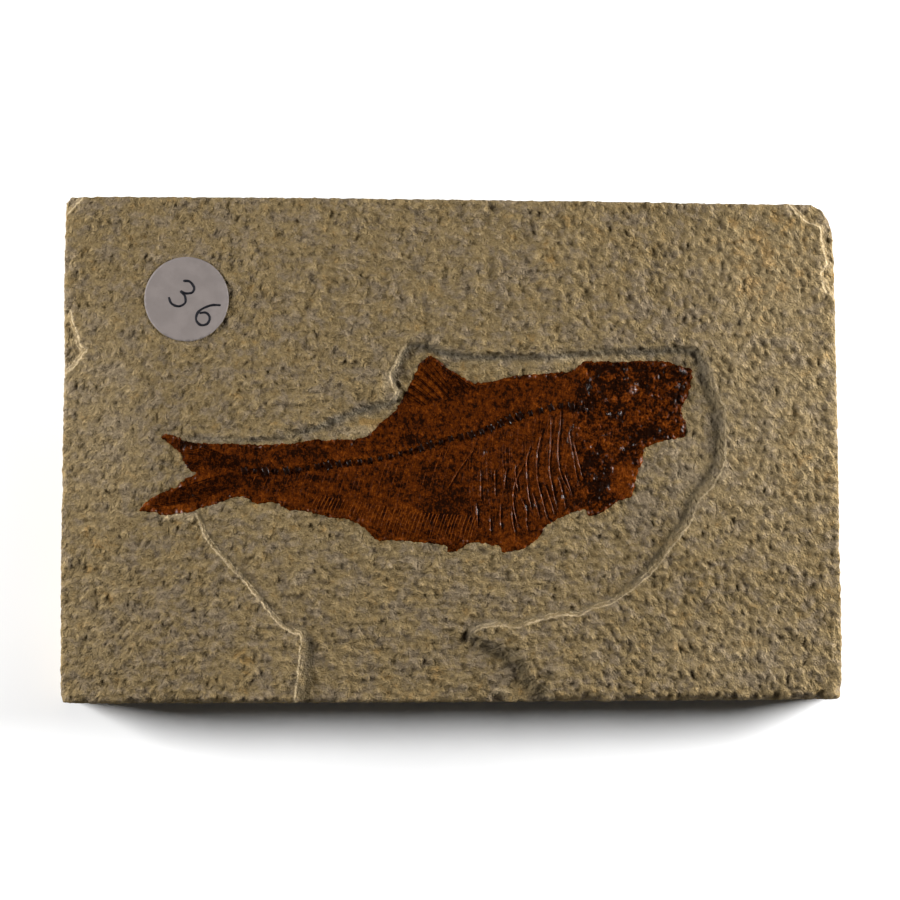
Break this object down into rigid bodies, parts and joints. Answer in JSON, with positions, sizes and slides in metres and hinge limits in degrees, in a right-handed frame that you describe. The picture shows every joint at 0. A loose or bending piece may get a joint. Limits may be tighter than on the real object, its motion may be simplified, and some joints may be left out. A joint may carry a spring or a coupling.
{
  "type": "fossil fish in a limestone slab",
  "caption": "Flat rectangular limestone slab with a glossy brown fossil fish in a shallow worked recess and a round paper number sticker.",
  "frame": {"origin": "middle of the slab's flat underside, below the middle of its bounding box", "axes": "+X from the fish's tail to its head, +Y from its belly to its back, +Z out of the stone on the fossil's side"},
  "size_m": [0.1758, 0.1142, 0.0134],
  "materials": {
    "limestone": "rough split limestone, cream to buff with grey and ochre patches",
    "fossil_bone": "dark red-brown fossil bone and skin with a glossy preparation varnish",
    "sticker_paper": "matt pale grey-lilac paper",
    "pen_ink": "dark pen ink"
  },
  "bodies": {
    "root": {"limestone_slab": "limestone", "fossil_fish": "fossil_bone", "number_sticker": "sticker_paper"}
  },
  "joints": []
}
